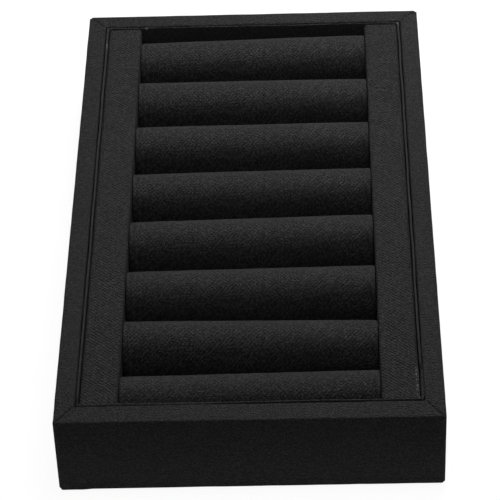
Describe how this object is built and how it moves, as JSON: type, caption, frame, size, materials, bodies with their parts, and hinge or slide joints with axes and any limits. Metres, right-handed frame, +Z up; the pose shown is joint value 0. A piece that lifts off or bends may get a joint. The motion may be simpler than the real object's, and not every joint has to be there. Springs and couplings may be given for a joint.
{
  "type": "ring display drawer tray",
  "caption": "Shallow cloth-wrapped tray with a lift-out insert of padded rolls between two flat rails; rings stand in the slots between the rolls.",
  "frame": {"origin": "middle of the underside, on the surface that the tray stands on", "axes": "+X to the right along the rolls, +Y from the front to the back along the tray's length, +Z up"},
  "size_m": [0.14, 0.25, 0.034],
  "materials": {
    "wrap_cloth": "matte",
    "liner_cloth": "matte",
    "rail_cloth": "matte",
    "roll_cloth": "matte",
    "lining_cloth": "matte",
    "lining_paper": "matte",
    "board": "matte",
    "card": "matte",
    "foam": "matte"
  },
  "bodies": {
    "tray": {"underside_lining": "lining_paper", "base_board": "board", "floor_lining": "lining_cloth", "front_wall_board": "board", "front_wrap": "wrap_cloth", "front_liner": "liner_cloth", "back_wall_board": "board", "back_wrap": "wrap_cloth", "back_liner": "liner_cloth", "left_wall_board": "board", "left_wrap": "wrap_cloth", "left_liner": "liner_cloth", "right_wall_board": "board", "right_wrap": "wrap_cloth", "right_liner": "liner_cloth"},
    "insert": {"insert_board": "card", "left_rail_core": "board", "left_rail_cover": "rail_cloth", "right_rail_core": "board", "right_rail_cover": "rail_cloth", "foam_roll_1": "foam", "roll_cover_1": "roll_cloth", "foam_roll_2": "foam", "roll_cover_2": "roll_cloth", "foam_roll_3": "foam", "roll_cover_3": "roll_cloth", "foam_roll_4": "foam", "roll_cover_4": "roll_cloth", "foam_roll_5": "foam", "roll_cover_5": "roll_cloth", "foam_roll_6": "foam", "roll_cover_6": "roll_cloth", "foam_roll_7": "foam", "roll_cover_7": "roll_cloth", "foam_roll_8": "foam", "roll_cover_8": "roll_cloth"}
  },
  "joints": [
    {"name": "insert_lift", "type": "slide", "parent": "tray", "child": "insert", "axis": [0, 0, 1], "range_m": [0, 0.04]}
  ]
}
